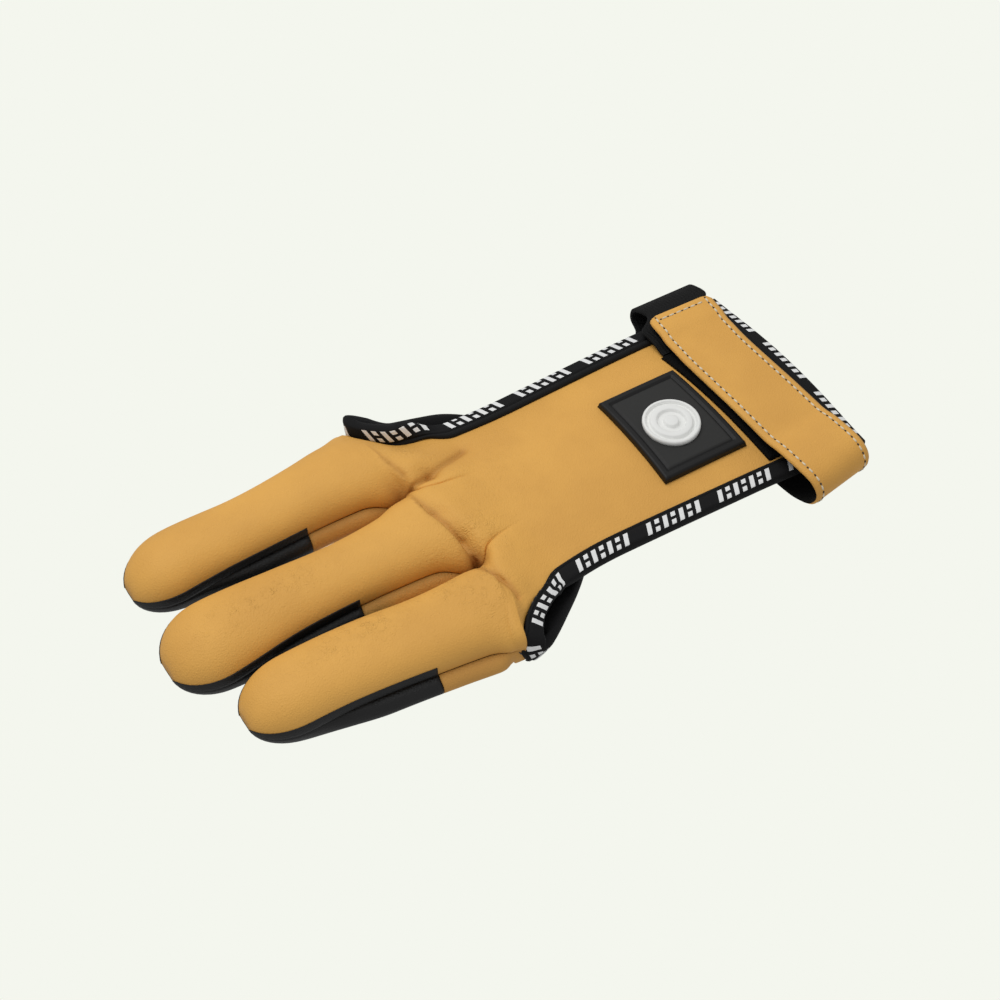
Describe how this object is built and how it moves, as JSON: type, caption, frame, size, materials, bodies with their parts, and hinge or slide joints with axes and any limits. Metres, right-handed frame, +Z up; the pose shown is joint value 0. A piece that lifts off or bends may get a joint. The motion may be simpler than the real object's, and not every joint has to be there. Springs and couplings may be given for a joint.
{
  "type": "archery glove",
  "caption": "Three-finger leather archery glove with dark finger guards, bound side openings, a rubber patch on the back and a hook-and-loop wrist strap.",
  "frame": {"origin": "centre of the bounding box in plan, on the ground under the lying glove", "axes": "+X from the fingertips to the wrist, +Y to the ring finger's side, +Z up through the back of the hand"},
  "size_m": [0.1974, 0.0922, 0.0171],
  "materials": {
    "leather": "smooth grain, matt",
    "leather_side": "smooth grain, matt",
    "guard_leather": "smooth, slight sheen",
    "tape": "woven tape",
    "pile": "hook-and-loop pile",
    "elastic": "ribbed elastic",
    "patch_rubber": "matt moulded rubber",
    "emblem_rubber": "matt moulded rubber"
  },
  "bodies": {
    "root": {"back_panel": "leather", "palm_panel": "leather_side", "ring_guard": "guard_leather", "middle_guard": "guard_leather", "index_guard": "guard_leather", "near_binding": "tape", "far_binding": "tape", "wrist_binding": "tape", "loop_patch": "pile", "wrist_strap": "leather", "hook_backing": "pile", "elastic_band": "elastic", "label_patch": "patch_rubber", "label_emblem": "emblem_rubber"}
  },
  "joints": []
}
